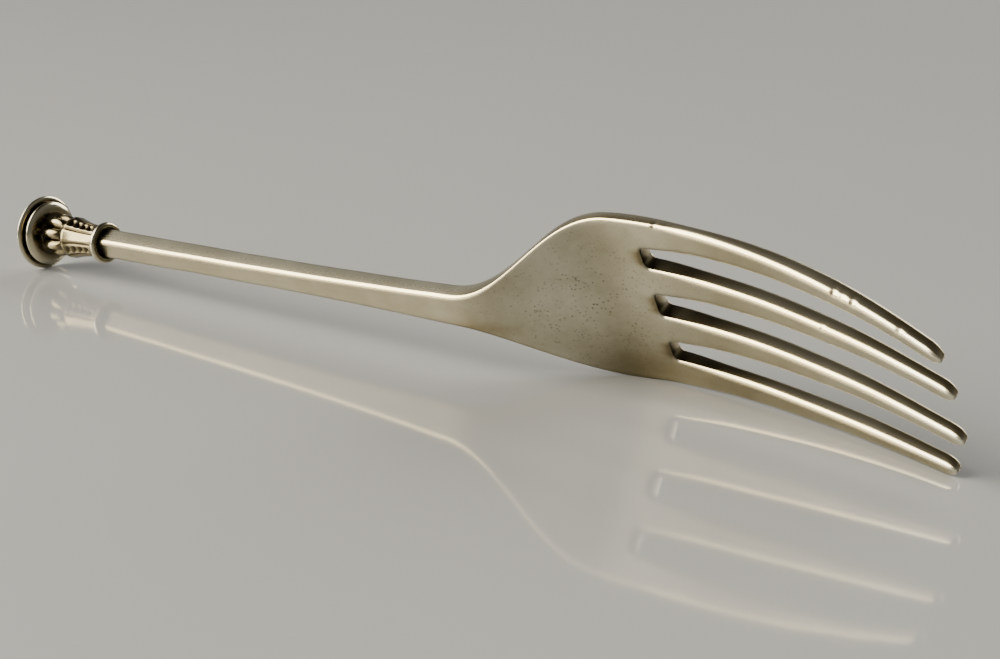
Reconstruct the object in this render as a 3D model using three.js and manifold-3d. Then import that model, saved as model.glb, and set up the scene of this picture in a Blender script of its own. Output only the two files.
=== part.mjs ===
import * as THREE from "three";
import { mergeVertices } from "three/addons/utils/BufferGeometryUtils.js";
import Module from "manifold-3d";

// A silver fork with a seal-top finial, in millimetres. It is drawn along x, from the seal to the tips,
// with x = 0 at the mouth of the collar, its width along y and its hollow face towards +z.
// At the end it is laid on its side on the plane z = 0, as it rests on a table.

// The forged blank: a square stem that widens into a palm with four tines.
const BLADE_LENGTH = 131;
const STEM_SIZE = 3.15;
const NECK_WIDTH = 4.8;
const NECK_THICKNESS = 2.75;
const HEAD_WIDTH = 24.8;
const TIP_SPREAD = 18.6;
const BOWL_DEPTH = 7.05;
const TIP_RISE = 9.75;
const PALM_THICKNESS = 1.6;
const TINE_THICKNESS = 2;
const TIP_THICKNESS = 1.5;
const BACK_CROWN = 1;
const STEM_EDGE_RADIUS = 0.6;
const PALM_EDGE_RADIUS = 0.5;
const TINE_EDGE_RADIUS = 0.6;

// Where the blank changes shape, as shares of its length.
const NECK_X = 0.463 * BLADE_LENGTH;
const BOWL_X = 0.674 * BLADE_LENGTH;
const SHOULDER_X = 0.657 * BLADE_LENGTH;
const TAPER_X = 0.69 * BLADE_LENGTH;
const ROOT_X = 0.674 * BLADE_LENGTH;
const ROUND_TINE_X = 0.74 * BLADE_LENGTH;
const FULL_TINE_X = 0.83 * BLADE_LENGTH;
const THIN_TIP_X = 0.88 * BLADE_LENGTH;
const CROWN_END_X = 0.92 * BLADE_LENGTH;
const NECK_SWELL = 3.5;
const RISE_POWER = 1.66;

// The tines, measured across y at their roots and tips. The lowest one is the most worn, and use has
// bent the tips of the upper two a little towards it.
const TINE_ROOT_WIDTH = 3.9;
const TINE_TIP_WIDTH = 1.3;
const TINE_TAPER = 1.23;
const INNER_ROOT_Y = 3.6;
const INNER_TIP_Y = 3.3;
const TINE_SHORTER = [2.2, 0.1, 0, 0.8];
const TINE_LEAN = [0, 0, 0.6, 1];
const TIP_ROUND = 1.8;
const TIP_SQUEEZE = 0.9;
const SLOT_CORNER = 0.8;

// A rounded edge takes no more than these shares of a tine's width and thickness.
const EDGE_WIDTH_SHARE = 0.35;
const EDGE_THICKNESS_SHARE = 0.42;

// How far from the tips a lying fork can touch the table with a tine.
const TINE_REST = 25;
const REST_TRIES = 12;

// The finial, turned about the x axis, and the tang and peg that hold it together.
const COLLAR_LENGTH = 0.9;
const COLLAR_RADIUS = 2.9;
const COLLAR_BORE = 2.25;
const COLLAR_SIDE_RADIUS = 2.5;
const FLUTED_LENGTH = 6.5;
const FLUTED_LIP_RADIUS = 3;
const FLUTED_LIP = 1.0;
const FLUTED_WAIST_RADIUS = 2.25;
const KNOP_LENGTH = 3.7;
const KNOP_RADIUS = 2.95;
const KNOP_END_RADIUS = 2.2;
const SEAL_LENGTH = 2.25;
const SEAL_RADIUS = 5.2;
const SEAL_OVOLO_RADIUS = 4.5;
const SEAL_OVOLO_END_RADIUS = 3.1;
const SEAL_FACE_RADIUS = 4.65;
const SEAL_GROOVE_RADIUS = 4.1;
const SEAL_RIM = 0.6;
const SEAL_GROOVE = 0.25;
const SEAL_OVOLO = 1.1;
const PANELS = 8;
const LOBE_DEPTH = 0.7;
const LOBE_SHARPNESS = 0.8;
const FLUTE_DEPTH = 0.3;
const FLUTE_SHARPNESS = 0.5;
const TANG_RADIUS = 1;
const TANG_LENGTH = 4;
const FIT_GAP = 0.3;
const BORE_RADIUS = TANG_RADIUS + FIT_GAP;

const AXIS_Z = -STEM_SIZE / 2;
const FLUTED_X = -COLLAR_LENGTH;
const KNOP_X = FLUTED_X - FLUTED_LENGTH;
const SEAL_X = KNOP_X - KNOP_LENGTH;
const END_X = SEAL_X - SEAL_LENGTH;
const PEG_END_X = FLUTED_X - TANG_LENGTH - FIT_GAP;

const { mapLinear, lerp, smoothstep, smootherstep, clamp } = THREE.MathUtils;
const share = (x, from, to) => clamp(mapLinear(x, from, to, 0, 1), 0, 1);

// Front face of the blank: straight along the stem, down into the bowl, then up along the tines.
function front(x) {
  const rise = share(x, BOWL_X, BLADE_LENGTH) ** RISE_POWER;
  return TIP_RISE * rise - BOWL_DEPTH * smootherstep(x, NECK_X, BOWL_X);
}

function thickness(x) {
  const stem = lerp(STEM_SIZE, NECK_THICKNESS, share(x, 0, NECK_X));
  const palm = lerp(stem, PALM_THICKNESS, smoothstep(x, NECK_X, SHOULDER_X));
  const tine = lerp(palm, TINE_THICKNESS, smoothstep(x, BOWL_X, FULL_TINE_X));
  return lerp(tine, TIP_THICKNESS, smoothstep(x, THIN_TIP_X, BLADE_LENGTH));
}

// The back of the palm is crowned: thickest along the middle, and thin towards its outer edges.
function crown(x, y) {
  const along = smoothstep(x, NECK_X, SHOULDER_X) * (1 - smoothstep(x, ROOT_X, CROWN_END_X));
  return BACK_CROWN * along * (1 - clamp((2 * y) / HEAD_WIDTH, -1, 1) ** 2);
}

const back = (x, y) => front(x) - thickness(x) - crown(x, y);

// Half of the outline's width: stem, shoulders and the taper towards the tips.
function halfWidth(x) {
  const stem = lerp(STEM_SIZE, NECK_WIDTH, share(x, 0, NECK_X) ** NECK_SWELL);
  const head = lerp(stem, HEAD_WIDTH, smootherstep(x, NECK_X, SHOULDER_X));
  return lerp(head, TIP_SPREAD, share(x, TAPER_X, BLADE_LENGTH) ** 2) / 2;
}

const SLOT_X = ROOT_X + SLOT_CORNER;

function edgeRadius(x) {
  const palm = lerp(STEM_EDGE_RADIUS, PALM_EDGE_RADIUS, smoothstep(x, NECK_X, ROOT_X));
  return lerp(palm, TINE_EDGE_RADIUS, smoothstep(x, SLOT_X, ROUND_TINE_X));
}

// A tine's two sides at x. Tines count from the lower side, and the first and the last are the outer ones.
const TINES = TINE_SHORTER.length;
const isOuter = (tine) => tine === 0 || tine === TINES - 1;
const tipOf = (tine) => BLADE_LENGTH - TINE_SHORTER[tine];

const roundingOf = (tine, x) => share(x, tipOf(tine) - TIP_ROUND, tipOf(tine));

function tineSides(tine, x) {
  const along = share(x, SLOT_X, tipOf(tine));
  const half = lerp(TINE_ROOT_WIDTH, TINE_TIP_WIDTH, 1 - (1 - along) ** TINE_TAPER) / 2;
  const middle = isOuter(tine) ? halfWidth(x) - half : lerp(INNER_ROOT_Y, INNER_TIP_Y, along ** 2);
  const width = half * Math.sqrt(1 - roundingOf(tine, x) ** 2);
  const y = (tine < TINES / 2 ? -middle : middle) - TINE_LEAN[tine] * along ** 3;
  return [y - width, y + width];
}

// The blank's skin is a grid: rows along x, columns across each tine, and a band of EDGE_STEPS steps
// for each rounded edge, with a wall between the front edge and the back edge.
const EDGE_STEPS = 3;
const BAND = 2 * EDGE_STEPS + 1;
const TINE_COLUMNS = 3;
const CORNER_STEPS = 3;
const STEM_ROWS = 9;
const PALM_ROWS = 20;
const TINE_ROWS = 22;
const TIP_ROWS = 5;

class Skin {
  positions = [];
  indices = [];

  vertex(x, y, z) {
    this.positions.push(x, y, z);
    return this.positions.length / 3 - 1;
  }

  quad(a, b, c, d) {
    this.indices.push(a, b, c, a, c, d);
  }

  // Joins two rows of vertices; the skin's outside is on the left of the way along the first row.
  strip(first, second) {
    for (let i = 0; i + 1 < first.length; i++) {
      this.quad(first[i], first[i + 1], second[i + 1], second[i]);
    }
  }

  geometry() {
    const made = new THREE.BufferGeometry();
    made.setAttribute("position", new THREE.Float32BufferAttribute(this.positions, 3));
    made.setIndex(this.indices);
    return made;
  }
}

const skin = new Skin();
const onFront = (x, y) => skin.vertex(x, y, front(x));
const onBack = (x, y) => skin.vertex(x, y, back(x, y));

// The rounded edge at one place of the outline, from front to back. (inX, inY) points into the metal.
function edgeBand(x, y, inX, inY, radius) {
  const band = [];
  for (let k = 0; k <= BAND; k++) {
    const level = Math.min(k, BAND - k);
    const angle = (Math.PI / 2) * (level / EDGE_STEPS);
    const inset = radius * (1 - Math.sin(angle));
    const drop = radius * (1 - Math.cos(angle));
    const px = x + inX * inset;
    const py = y + inY * inset;
    const z = k <= EDGE_STEPS ? front(px) - drop : back(px, py) + drop;
    band.push(skin.vertex(px, py, z));
  }
  return band;
}

// The band on a side y = side(x), where the metal lies towards `into` (+1 or -1 in y).
const SLOPE_STEP = 0.01;

function sideBand(side, x, into, radius) {
  const slope = (side(x) - side(x - SLOPE_STEP)) / SLOPE_STEP;
  const long = Math.hypot(slope, 1);
  return edgeBand(x, side(x), (-into * slope) / long, into / long, radius);
}

const at = (vertex) => new THREE.Vector3().fromArray(skin.positions, vertex * 3);

// A row of columns between two vertices that are already there, on the front or on the back.
function between(left, right, columns, place) {
  const row = [left];
  for (let i = 1; i < columns; i++) {
    const p = at(left).lerp(at(right), i / columns);
    row.push(place(p.x, p.y));
  }
  return [...row, right];
}

const last = (list) => list[list.length - 1];

// The slots' roots: the tines' sides at SLOT_X give each slot its middle and half width.
const slots = [];
for (let tine = 0; tine + 1 < TINES; tine++) {
  const low = tineSides(tine, SLOT_X)[1];
  const high = tineSides(tine + 1, SLOT_X)[0];
  slots.push({ middle: (low + high) / 2, flat: (high - low) / 2 - SLOT_CORNER });
}
const rootBand = (y) => edgeBand(ROOT_X, y, -1, 0, PALM_EDGE_RADIUS);
const rootSides = slots.map(({ middle, flat }) => [rootBand(middle - flat), rootBand(middle + flat)]);
const rootMiddles = slots.map(({ middle }) => rootBand(middle));
const rootRowX = ROOT_X - PALM_EDGE_RADIUS;

// The row across the palm where the slots begin. Earlier rows are this row, narrowed to the outline.
const lower = (x) => -halfWidth(x);
const outerBands = (x) => [
  sideBand(lower, x, 1, edgeRadius(x)),
  sideBand(halfWidth, x, -1, edgeRadius(x)),
];
const rootOuter = outerBands(rootRowX);
const tineStarts = [];
for (let tine = 0; tine < TINES; tine++) {
  const left = tine === 0 ? rootOuter[0] : rootSides[tine - 1][1];
  const right = tine === TINES - 1 ? rootOuter[1] : rootSides[tine][0];
  tineStarts.push({
    left,
    right,
    front: between(left[0], right[0], TINE_COLUMNS, onFront),
    back: between(last(left), last(right), TINE_COLUMNS, onBack),
  });
}
const across = (pick, middle) =>
  tineStarts.flatMap((start, tine) => (tine ? [middle(rootMiddles[tine - 1])] : []).concat(pick(start)));
const rootRow = {
  left: rootOuter[0],
  right: rootOuter[1],
  front: across((start) => start.front, (band) => band[0]),
  back: across((start) => start.back, last),
};

function palmRow(x) {
  const [left, right] = outerBands(x);
  const spread = (row, from, to, place) => {
    const low = at(row[0]).y;
    const high = at(last(row)).y;
    const inner = row.slice(1, -1).map((vertex) => {
      const p = at(from).lerp(at(to), mapLinear(at(vertex).y, low, high, 0, 1));
      return place(p.x, p.y);
    });
    return [from, ...inner, to];
  };
  return {
    left,
    right,
    front: spread(rootRow.front, left[0], right[0], onFront),
    back: spread(rootRow.back, last(left), last(right), onBack),
  };
}

function joinRows(a, b) {
  skin.strip(b.front, a.front);
  skin.strip(a.back, b.back);
  skin.strip(a.left, b.left);
  skin.strip(b.right, a.right);
}

// The outline of one row, once round, and the fan that closes the skin over it.
const ringOf = (row) => [
  ...row.front,
  ...row.right.slice(1, -1),
  ...[...row.back].reverse(),
  ...[...row.left].reverse().slice(1, -1),
];

function closeRing(ring, centre) {
  ring.forEach((vertex, i) => {
    skin.indices.push(vertex, ring[(i + 1) % ring.length], centre);
  });
}

const rowsX = (from, to, rows) => Array.from({ length: rows }, (_, i) => lerp(from, to, i / rows));
const palmRows = [
  ...rowsX(FLUTED_X, NECK_X, STEM_ROWS).map(palmRow),
  ...rowsX(NECK_X, rootRowX, PALM_ROWS).map(palmRow),
  rootRow,
];
palmRows.slice(1).forEach((row, i) => joinRows(palmRows[i], row));
closeRing(ringOf(palmRows[0]), skin.vertex(FLUTED_X, 0, AXIS_Z));

slots.forEach((_, slot) => {
  skin.strip(rootSides[slot][0], rootMiddles[slot]);
  skin.strip(rootMiddles[slot], rootSides[slot][1]);
});

function tineRow(tine, x, corner) {
  const edge = (side, into) => {
    const outer = (tine === 0 && side === 0) || (tine === TINES - 1 && side === 1);
    if (corner !== undefined && !outer) {
      const { middle, flat } = slots[side === 0 ? tine - 1 : tine];
      const y = middle + into * (flat + SLOT_CORNER * Math.sin(corner));
      return edgeBand(x, y, -Math.cos(corner), into * Math.sin(corner), PALM_EDGE_RADIUS);
    }
    const [low, high] = tineSides(tine, x);
    const most = Math.min(EDGE_WIDTH_SHARE * (high - low), EDGE_THICKNESS_SHARE * thickness(x));
    const sideOf = (px) => (outer && x < SLOT_X ? halfWidth(px) * -into : tineSides(tine, px)[side]);
    return sideBand(sideOf, x, into, Math.min(edgeRadius(x), most));
  };
  const left = edge(0, 1);
  const right = edge(1, -1);
  return {
    left,
    right,
    front: between(left[0], right[0], TINE_COLUMNS, onFront),
    back: between(last(left), last(right), TINE_COLUMNS, onBack),
  };
}

// A tip is rounded across its thickness as well as across its width.
function squeezeRow(row, tine) {
  ringOf(row).forEach((vertex) => {
    const { x, y, z } = at(vertex);
    const middle = (front(x) + back(x, y)) / 2;
    const squeeze = Math.sqrt(1 - (TIP_SQUEEZE * roundingOf(tine, x)) ** 2);
    skin.positions[vertex * 3 + 2] = lerp(middle, z, squeeze);
  });
  return row;
}

for (let tine = 0; tine < TINES; tine++) {
  const tip = tipOf(tine);
  const roundX = tip - TIP_ROUND;
  const rows = [tineStarts[tine]];
  for (let i = 1; i <= CORNER_STEPS; i++) {
    const corner = (Math.PI / 2) * (i / CORNER_STEPS);
    rows.push(tineRow(tine, SLOT_X - SLOT_CORNER * Math.cos(corner), corner));
  }
  rowsX(SLOT_X, roundX, TINE_ROWS).slice(1).forEach((x) => rows.push(tineRow(tine, x)));
  for (let i = 0; i < TIP_ROWS; i++) {
    const x = roundX + TIP_ROUND * Math.sin((Math.PI / 2) * (i / TIP_ROWS));
    rows.push(squeezeRow(tineRow(tine, x), tine));
  }
  rows.slice(1).forEach((row, i) => joinRows(rows[i], row));
  const [low, high] = tineSides(tine, tip);
  const end = skin.vertex(tip, (low + high) / 2, (front(tip) + back(tip, low)) / 2);
  closeRing(ringOf(last(rows)).reverse(), end);
}

// Solids are joined and cut on their positions alone.
const WELD = 1e-4;
const wasm = await Module();
wasm.setup();

function solid(geometry) {
  const bare = new THREE.BufferGeometry();
  const flat = geometry.index ? geometry.toNonIndexed() : geometry;
  bare.setAttribute("position", flat.getAttribute("position"));
  const merged = mergeVertices(bare, WELD);
  return new wasm.Manifold(
    new wasm.Mesh({
      numProp: 3,
      vertProperties: merged.attributes.position.array,
      triVerts: new Uint32Array(merged.index.array),
    }),
  );
}

function geometryOf(made) {
  const mesh = made.getMesh();
  const geometry = new THREE.BufferGeometry();
  geometry.setAttribute("position", new THREE.BufferAttribute(mesh.vertProperties, 3));
  geometry.setIndex(new THREE.BufferAttribute(mesh.triVerts, 1));
  return geometry;
}

// Turned pieces: each profile is a list of [x, radius] and is revolved about the stem's own axis.
const ROUND_STEPS = 48;
const BEAD_STEPS = 8;
const LIP_STEPS = 4;
const TRUMPET_ROWS = 9;

function turned(profile) {
  const points = profile.map(([x, radius]) => new THREE.Vector2(radius, x));
  const geometry = new THREE.LatheGeometry(points, ROUND_STEPS);
  return geometry.rotateZ(-Math.PI / 2).rotateX(Math.PI / PANELS).translate(0, 0, AXIS_Z);
}

// A rounded moulding between two places on a profile, as a half ellipse of the given height.
function bead(fromX, toX, radius, height) {
  return Array.from({ length: BEAD_STEPS + 1 }, (_, i) => {
    const angle = Math.PI * (i / BEAD_STEPS);
    return [lerp(fromX, toX, (1 - Math.cos(angle)) / 2), radius + height * Math.sin(angle)];
  });
}

// A quarter ellipse that leaves its first place across the axis and reaches its last one along it.
function quarter(fromX, fromRadius, toX, toRadius) {
  return Array.from({ length: LIP_STEPS + 1 }, (_, i) => {
    const angle = (Math.PI / 2) * (i / LIP_STEPS);
    return [lerp(fromX, toX, 1 - Math.cos(angle)), lerp(fromRadius, toRadius, Math.sin(angle))];
  });
}

// Cuts lengthwise grooves between the panels of a turned piece, as deep as depth(x, radius) says.
function panelled(geometry, depth, sharpness) {
  const p = geometry.getAttribute("position");
  for (let i = 0; i < p.count; i++) {
    const y = p.getY(i);
    const z = p.getZ(i) - AXIS_Z;
    const radius = Math.hypot(y, z);
    const groove = 1 - Math.abs(Math.cos((PANELS / 2) * Math.atan2(y, z))) ** sharpness;
    const scale = 1 - (groove * depth(p.getX(i), radius)) / radius;
    p.setXYZ(i, p.getX(i), y * scale, AXIS_Z + z * scale);
  }
  return geometry;
}

const tang = turned([
  [FLUTED_X - TANG_LENGTH, 0],
  [FLUTED_X - TANG_LENGTH, TANG_RADIUS],
  [STEM_SIZE, TANG_RADIUS],
  [STEM_SIZE, 0],
]);
const blank = geometryOf(solid(skin.geometry()).add(solid(tang)));

const collar = turned([
  ...bead(FLUTED_X, 0, COLLAR_SIDE_RADIUS, COLLAR_RADIUS - COLLAR_SIDE_RADIUS),
  [0, COLLAR_BORE],
  [FLUTED_X, COLLAR_BORE],
  [FLUTED_X, COLLAR_SIDE_RADIUS],
]);

const LIP_X = KNOP_X + FLUTED_LIP;
const lip = quarter(KNOP_X, KNOP_END_RADIUS, LIP_X, FLUTED_LIP_RADIUS);
const trumpet = rowsX(FLUTED_X, LIP_X, TRUMPET_ROWS)
  .reverse()
  .map((x) => [x, lerp(FLUTED_WAIST_RADIUS, FLUTED_LIP_RADIUS, share(x, FLUTED_X, LIP_X) ** 2)]);
const fluteDepth = (x, radius) =>
  radius > BORE_RADIUS + FIT_GAP ? FLUTE_DEPTH * Math.sin(Math.PI * share(x, KNOP_X, FLUTED_X)) : 0;
const fluted = panelled(
  turned([
    ...lip,
    ...trumpet,
    [FLUTED_X, BORE_RADIUS],
    [KNOP_X, BORE_RADIUS],
    [KNOP_X, KNOP_END_RADIUS],
  ]),
  fluteDepth,
  FLUTE_SHARPNESS,
);

const lobeDepth = (x, radius) =>
  LOBE_DEPTH * smoothstep(radius, KNOP_END_RADIUS, KNOP_RADIUS);
const knop = panelled(
  turned([
    ...bead(SEAL_X, KNOP_X, KNOP_END_RADIUS, KNOP_RADIUS - KNOP_END_RADIUS),
    [KNOP_X, BORE_RADIUS],
    [SEAL_X, BORE_RADIUS],
    [SEAL_X, KNOP_END_RADIUS],
  ]),
  lobeDepth,
  LOBE_SHARPNESS,
);

const RIM_X = END_X + SEAL_RIM;
const OVOLO_X = RIM_X + SEAL_GROOVE;
const OVOLO_END_X = OVOLO_X + SEAL_OVOLO;
const seal = turned([
  [END_X, 0],
  ...bead(END_X, RIM_X, SEAL_FACE_RADIUS, SEAL_RADIUS - SEAL_FACE_RADIUS),
  [RIM_X, SEAL_GROOVE_RADIUS],
  [OVOLO_X, SEAL_GROOVE_RADIUS],
  ...quarter(OVOLO_END_X, SEAL_OVOLO_END_RADIUS, OVOLO_X, SEAL_OVOLO_RADIUS).reverse(),
  ...quarter(OVOLO_END_X, SEAL_OVOLO_END_RADIUS, SEAL_X, KNOP_END_RADIUS).slice(1),
  [SEAL_X, TANG_RADIUS],
  [PEG_END_X, TANG_RADIUS],
  [PEG_END_X, 0],
]);

// The blank is worn and warm, and the finial's castings are darker in their hollows.
const BLANK_COLOUR = "#b5ae9d";
const RIM_COLOUR = "#b3ac9a";
const HOLLOW_COLOUR = "#a8a08b";
const SATIN = 0.36;
const fork = new THREE.Group();

function add(name, geometry, color) {
  const material = new THREE.MeshStandardMaterial({ color, roughness: SATIN, metalness: 1 });
  const mesh = new THREE.Mesh(geometry, material);
  mesh.name = name;
  fork.add(mesh);
}

add("fork_blank", blank, BLANK_COLOUR);
add("collar_ring", collar, RIM_COLOUR);
add("fluted_neck", fluted, HOLLOW_COLOUR);
add("lobed_knop", knop, HOLLOW_COLOUR);
add("seal_disc", seal, RIM_COLOUR);

// Laid on its side, the fork rests on three places: the seal's rim, the lower shoulder of the palm and
// the tip of the lowest tine. The plane through them is found by trying each plane's own lowest places.
function verticesOf(geometry, keep) {
  const p = geometry.getAttribute("position");
  const vertex = (_, i) => new THREE.Vector3().fromBufferAttribute(p, i);
  return Array.from({ length: p.count }, vertex).filter(keep);
}

const supports = [
  verticesOf(seal, () => true),
  verticesOf(blank, (v) => v.x < BLADE_LENGTH - TINE_REST),
  verticesOf(blank, (v) => v.x > BLADE_LENGTH - TINE_REST),
];
let up = new THREE.Vector3(0, 1, 0);
for (let i = 0; i < REST_TRIES; i++) {
  const lowest = (list) => list.reduce((a, b) => (b.dot(up) < a.dot(up) ? b : a));
  const [atSeal, atPalm, atTip] = supports.map(lowest);
  const normal = atPalm.clone().sub(atSeal).cross(atTip.clone().sub(atSeal)).normalize();
  up = normal.y < 0 ? normal.negate() : normal;
}
const along = new THREE.Vector3(1, 0, 0).addScaledVector(up, -up.x).normalize();
const aside = up.clone().cross(along);
fork.quaternion.setFromRotationMatrix(new THREE.Matrix4().makeBasis(along, aside, up).transpose());
const box = new THREE.Box3().setFromObject(fork, true);
const middle = box.getCenter(new THREE.Vector3());
fork.position.set(-middle.x, -middle.y, -box.min.z);

const group = new THREE.Group();
group.add(fork);
export default group;
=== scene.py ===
import math

import bmesh
import bpy
import numpy as np
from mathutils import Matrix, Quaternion, Vector, noise


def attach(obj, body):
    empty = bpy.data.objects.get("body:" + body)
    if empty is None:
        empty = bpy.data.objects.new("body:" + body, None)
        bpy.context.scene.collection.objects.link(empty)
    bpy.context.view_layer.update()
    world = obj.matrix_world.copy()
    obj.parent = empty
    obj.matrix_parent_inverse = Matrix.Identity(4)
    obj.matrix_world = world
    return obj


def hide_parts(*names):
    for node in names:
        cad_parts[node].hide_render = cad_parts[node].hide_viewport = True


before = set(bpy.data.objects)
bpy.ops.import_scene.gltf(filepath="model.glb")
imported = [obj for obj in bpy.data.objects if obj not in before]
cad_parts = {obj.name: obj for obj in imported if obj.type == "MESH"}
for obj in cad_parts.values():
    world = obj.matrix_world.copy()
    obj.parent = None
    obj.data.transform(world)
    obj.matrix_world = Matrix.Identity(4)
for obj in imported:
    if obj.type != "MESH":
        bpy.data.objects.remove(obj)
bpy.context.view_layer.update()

# A silver seal-top fork. It is drawn in millimetres along x, with x = 0 at the mouth of the collar, its
# width along y and its hollow face towards +z, and then turned onto its side as the solids lie.
MM = 0.001
REST_TURN = Quaternion((0.523212, 0.852036, -0.008822, 0.014367))
REST_SHIFT = Vector((-58.7155, -3.8473, 4.9173))

# The forged blank: stem, palm and tines.
BLADE_LENGTH = 131
STEM_SIZE = 3.15
NECK_WIDTH = 4.8
NECK_THICKNESS = 2.75
HEAD_WIDTH = 24.8
TIP_SPREAD = 18.6
BOWL_DEPTH = 7.05
TIP_RISE = 9.75
PALM_THICKNESS = 1.6
TINE_THICKNESS = 2.4
TIP_THICKNESS = 1.9
BACK_CROWN = 1
NECK_SWELL = 3.5
RISE_POWER = 1.66

# Places along the blank where one form passes into the next.
NECK_X = 0.463 * BLADE_LENGTH
PALM_EDGE_X = NECK_X + 13
BOWL_X = 0.674 * BLADE_LENGTH
SHOULDER_X = 0.657 * BLADE_LENGTH
TAPER_X = 0.69 * BLADE_LENGTH
ROOT_X = 0.674 * BLADE_LENGTH
ROUND_TINE_X = 0.74 * BLADE_LENGTH
FULL_TINE_X = 0.9 * BLADE_LENGTH
THIN_TIP_X = 0.88 * BLADE_LENGTH
CROWN_END_X = 0.92 * BLADE_LENGTH

# Rounded edges. On a slim tine they take up only a share of its width and thickness.
STEM_EDGE_RADIUS = 0.6
PALM_EDGE_RADIUS = 0.36
TINE_EDGE_RADIUS = 0.75
WIDTH_SHARE = 0.35
THICKNESS_SHARE = 0.42

# The tines, counted from the lower side. Each is worn and bent in its own way.
TINES = 4
TINE_ROOT_WIDTH = 3.9
TINE_TIP_WIDTH = 1.7
TINE_TAPER = 1.23
INNER_ROOT_Y = 3.6
INNER_TIP_Y = 3.3
TINE_SHORTER = (2.2, 0.1, 0.0, 0.8)
TINE_LEAN = (0.0, 0.0, 0.3, 1.0)
TIP_ROUND = 1.8
TIP_SQUEEZE = 0.9
SLOT_CORNER = 0.8
SLOT_X = ROOT_X + SLOT_CORNER

# The finial's pieces, turned about the stem's axis.
COLLAR_LENGTH = 0.9
COLLAR_RADIUS = 2.9
COLLAR_BORE = 2.25
COLLAR_SIDE_RADIUS = 2.5
FLUTED_LENGTH = 6.5
FLUTED_LIP_RADIUS = 3
FLUTED_LIP = 1.0
FLUTED_WAIST_RADIUS = 2.25
KNOP_LENGTH = 3.7
KNOP_RADIUS = 2.95
KNOP_END_RADIUS = 2.2
SEAL_LENGTH = 2.25
SEAL_RADIUS = 5.2
SEAL_OVOLO_RADIUS = 4.5
SEAL_OVOLO_END_RADIUS = 3.1
SEAL_FACE_RADIUS = 4.65
SEAL_GROOVE_RADIUS = 4.1
SEAL_RIM = 0.6
SEAL_GROOVE = 0.25
SEAL_OVOLO = 1.1
OVOLO_TUCK = math.radians(55)
FACE_START_RADIUS = 0.02 * SEAL_FACE_RADIUS
FACE_END_RADIUS = 0.97 * SEAL_FACE_RADIUS
AXIS_Z = -STEM_SIZE / 2
FLUTED_X = -COLLAR_LENGTH
LIP_X = FLUTED_X - FLUTED_LENGTH + FLUTED_LIP
KNOP_X = FLUTED_X - FLUTED_LENGTH
SEAL_X = KNOP_X - KNOP_LENGTH
END_X = SEAL_X - SEAL_LENGTH
RIM_X = END_X + SEAL_RIM
OVOLO_X = RIM_X + SEAL_GROOVE
OVOLO_END_X = OVOLO_X + SEAL_OVOLO

# Panels of the neck and lobes of the knop. Every second panel has a row of small punched notches.
PANELS = 8
PANEL_ANGLE = 2 * math.pi / PANELS
PANEL_SHARE = 0.95
SEAM_HALF_ANGLE = 0.09
FLUTE_DEPTH = 0.3
NOTCHES = 4
NOTCH_DEPTH = 0.3
NOTCH_LENGTH = 0.36
NOTCH_HALF_ANGLE = 0.2
NOTCH_PITCH = (FLUTED_LENGTH - 2 * FLUTED_LIP) / NOTCHES
LOBE_DEPTH = 0.85
LOBE_SHARPNESS = 0.8

# How finely the skins are divided.
EDGE_STEPS = 6
BAND = 2 * EDGE_STEPS + 1
TINE_COLUMNS = 8
CORNER_STEPS = 8
STEM_ROWS = 60
PALM_ROWS = 90
TINE_ROWS = 160
TIP_ROWS = 10
SLOPE_STEP = 0.01
ROUND_STEPS = 192
BEAD_STEPS = 16
KNOP_STEPS = 28
LIP_STEPS = 8
TRUMPET_ROWS = 72
OVOLO_STEPS = 24
COVE_STEPS = 16
FACE_STEPS = 12
SHORT_STEPS = 3
BORE_STEPS = 4
SHARP_ANGLE = math.radians(50)


def lerp(a, b, t):
    return a + (b - a) * t


def share(x, low, high):
    return min(max((x - low) / (high - low), 0.0), 1.0)


def smooth(x, low, high):
    t = share(x, low, high)
    return t * t * (3 - 2 * t)


def smoother(x, low, high):
    t = share(x, low, high)
    return t ** 3 * (t * (6 * t - 15) + 10)


def quarter(steps):
    """Sine and cosine at even steps of a quarter turn."""
    angles = [math.pi / 2 * i / steps for i in range(steps + 1)]
    return [(math.sin(angle), math.cos(angle)) for angle in angles]


def front(x):
    """Height of the hollow face: straight stem, down into the bowl, then up along the tines."""
    rise = share(x, BOWL_X, BLADE_LENGTH) ** RISE_POWER
    return TIP_RISE * rise - BOWL_DEPTH * smoother(x, NECK_X, BOWL_X)


def thickness(x):
    stem = lerp(STEM_SIZE, NECK_THICKNESS, share(x, 0, NECK_X))
    palm = lerp(stem, PALM_THICKNESS, smooth(x, NECK_X, SHOULDER_X))
    tine = lerp(palm, TINE_THICKNESS, smooth(x, BOWL_X, FULL_TINE_X))
    return lerp(tine, TIP_THICKNESS, smooth(x, THIN_TIP_X, BLADE_LENGTH))


def back(x, y):
    """The back of the palm is crowned: thickest along the middle, and thin towards its outer edges."""
    along = smooth(x, NECK_X, SHOULDER_X) * (1 - smooth(x, ROOT_X, CROWN_END_X))
    crown = BACK_CROWN * along * (1 - min(abs(2 * y / HEAD_WIDTH), 1) ** 2)
    return front(x) - thickness(x) - crown


def half_width(x):
    stem = lerp(STEM_SIZE, NECK_WIDTH, share(x, 0, NECK_X) ** NECK_SWELL)
    head = lerp(stem, HEAD_WIDTH, smoother(x, NECK_X, SHOULDER_X))
    return lerp(head, TIP_SPREAD, share(x, TAPER_X, BLADE_LENGTH) ** 2) / 2


def edge_radius(x):
    palm = lerp(STEM_EDGE_RADIUS, PALM_EDGE_RADIUS, smooth(x, NECK_X, PALM_EDGE_X))
    return lerp(palm, TINE_EDGE_RADIUS, smooth(x, SLOT_X, ROUND_TINE_X))


def tip_of(tine):
    return BLADE_LENGTH - TINE_SHORTER[tine]


def rounding_of(tine, x):
    return share(x, tip_of(tine) - TIP_ROUND, tip_of(tine))


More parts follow.
